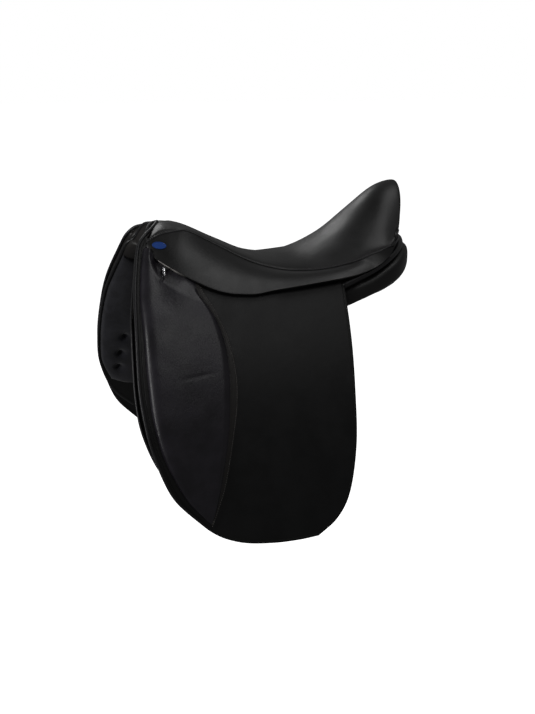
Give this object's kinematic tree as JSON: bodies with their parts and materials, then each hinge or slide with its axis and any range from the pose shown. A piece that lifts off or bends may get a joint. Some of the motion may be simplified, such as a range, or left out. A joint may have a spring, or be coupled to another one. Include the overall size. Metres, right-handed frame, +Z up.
{
  "type": "english saddle",
  "caption": "Dressage saddle with deep seat, long straight flaps, padded knee areas and split panel on a wooden tree; flaps, skirts, catches, rings and girth straps move.",
  "frame": {"origin": "on the centre line under the deepest point of the seat, at the level where the panels bear on the horse's back or on a rack", "axes": "+X to the horse's head (pommel), +Y to the horse's left (near side), +Z up"},
  "size_m": [0.4928, 0.5206, 0.51],
  "materials": {
    "seat_leather": "smooth black calf leather, satin",
    "flap_leather": "smooth black bridle leather, satin",
    "pad_leather": "soft black leather with a faint blue cast",
    "suede": "matt black nubuck",
    "bright_steel": "polished stainless steel",
    "dark_steel": "plain rolled steel",
    "beech": "laminated beech, clear varnish",
    "foam": "latex foam under the seat leather",
    "webbing": "woven linen webbing",
    "nail_enamel": "plain blue enamel"
  },
  "bodies": {
    "root": {"seat_cover": "seat_leather", "welt_left": "seat_leather", "welt_right": "seat_leather", "skirt_top_left": "seat_leather", "skirt_top_right": "seat_leather", "flap_top_left": "flap_leather", "flap_top_right": "flap_leather", "sweat_flap_left": "flap_leather", "sweat_flap_right": "flap_leather", "panel_roll_left": "flap_leather", "panel_roll_right": "flap_leather", "point_pocket_left": "flap_leather", "point_pocket_right": "flap_leather", "d_ring_chape_left": "flap_leather", "d_ring_chape_right": "flap_leather", "knee_block_left": "pad_leather", "knee_block_right": "pad_leather", "panel_left": "pad_leather", "panel_right": "pad_leather", "panel_front_arch": "suede", "front_pad_left": "suede", "front_pad_right": "suede", "stirrup_bar_left": "bright_steel", "stirrup_bar_right": "bright_steel", "gullet_plate": "dark_steel", "tree_spring_left": "dark_steel", "tree_spring_right": "dark_steel", "catch_pin_left": "dark_steel", "catch_pin_right": "dark_steel", "tree_head": "beech", "tree_cantle": "beech", "tree_rail_left": "beech", "tree_rail_right": "beech", "seat_foam": "foam", "seat_web_cross": "webbing", "seat_web_left": "webbing", "seat_web_right": "webbing", "saddle_nail_left": "nail_enamel", "saddle_nail_right": "nail_enamel"},
    "flap_left": {"flap_left": "flap_leather", "flap_piping_left": "flap_leather", "knee_pad_left": "pad_leather"},
    "skirt_left": {"skirt_left": "seat_leather"},
    "catch_left": {"bar_catch_left": "bright_steel"},
    "d_ring_left": {"d_ring_left": "bright_steel"},
    "strap_front_left": {"girth_strap_front_left": "flap_leather"},
    "strap_rear_left": {"girth_strap_rear_left": "flap_leather"},
    "flap_right": {"flap_right": "flap_leather", "flap_piping_right": "flap_leather", "knee_pad_right": "pad_leather"},
    "skirt_right": {"skirt_right": "seat_leather"},
    "catch_right": {"bar_catch_right": "bright_steel"},
    "d_ring_right": {"d_ring_right": "bright_steel"},
    "strap_front_right": {"girth_strap_front_right": "flap_leather"},
    "strap_rear_right": {"girth_strap_rear_right": "flap_leather"}
  },
  "joints": [
    {"name": "flap_lift_left", "type": "hinge", "parent": "root", "child": "flap_left", "pos_m": [0.08, 0.1376, 0.06], "axis": [1, 0, 0], "range_deg": [0, 70]},
    {"name": "skirt_lift_left", "type": "hinge", "parent": "root", "child": "skirt_left", "pos_m": [0.0103, 0.1176, 0.1043], "axis": [0.9992, -0.0392, 0.0105], "range_deg": [0, 45]},
    {"name": "catch_turn_left", "type": "hinge", "parent": "root", "child": "catch_left", "pos_m": [0.069, 0.1115, 0.0745], "axis": [0, 1, 0], "range_deg": [0, 75]},
    {"name": "d_ring_swing_left", "type": "hinge", "parent": "root", "child": "d_ring_left", "pos_m": [0.195, 0.113, 0.107], "axis": [0, 1, 0], "range_deg": [-25, 25]},
    {"name": "strap_front_swing_left", "type": "hinge", "parent": "root", "child": "strap_front_left", "pos_m": [0.043, 0.129, 0.045], "axis": [0, 1, 0], "range_deg": [-8, 8]},
    {"name": "strap_rear_swing_left", "type": "hinge", "parent": "root", "child": "strap_rear_left", "pos_m": [-0.012, 0.125, 0.042], "axis": [0, 1, 0], "range_deg": [-8, 8]},
    {"name": "flap_lift_right", "type": "hinge", "parent": "root", "child": "flap_right", "pos_m": [0.08, -0.1376, 0.06], "axis": [-1, 0, 0], "range_deg": [0, 70]},
    {"name": "skirt_lift_right", "type": "hinge", "parent": "root", "child": "skirt_right", "pos_m": [0.0103, -0.1176, 0.1043], "axis": [-0.9992, -0.0392, -0.0105], "range_deg": [0, 45]},
    {"name": "catch_turn_right", "type": "hinge", "parent": "root", "child": "catch_right", "pos_m": [0.069, -0.1115, 0.0745], "axis": [0, 1, 0], "range_deg": [0, 75]},
    {"name": "d_ring_swing_right", "type": "hinge", "parent": "root", "child": "d_ring_right", "pos_m": [0.195, -0.113, 0.107], "axis": [0, 1, 0], "range_deg": [-25, 25]},
    {"name": "strap_front_swing_right", "type": "hinge", "parent": "root", "child": "strap_front_right", "pos_m": [0.043, -0.129, 0.045], "axis": [0, 1, 0], "range_deg": [-8, 8]},
    {"name": "strap_rear_swing_right", "type": "hinge", "parent": "root", "child": "strap_rear_right", "pos_m": [-0.012, -0.125, 0.042], "axis": [0, 1, 0], "range_deg": [-8, 8]}
  ]
}
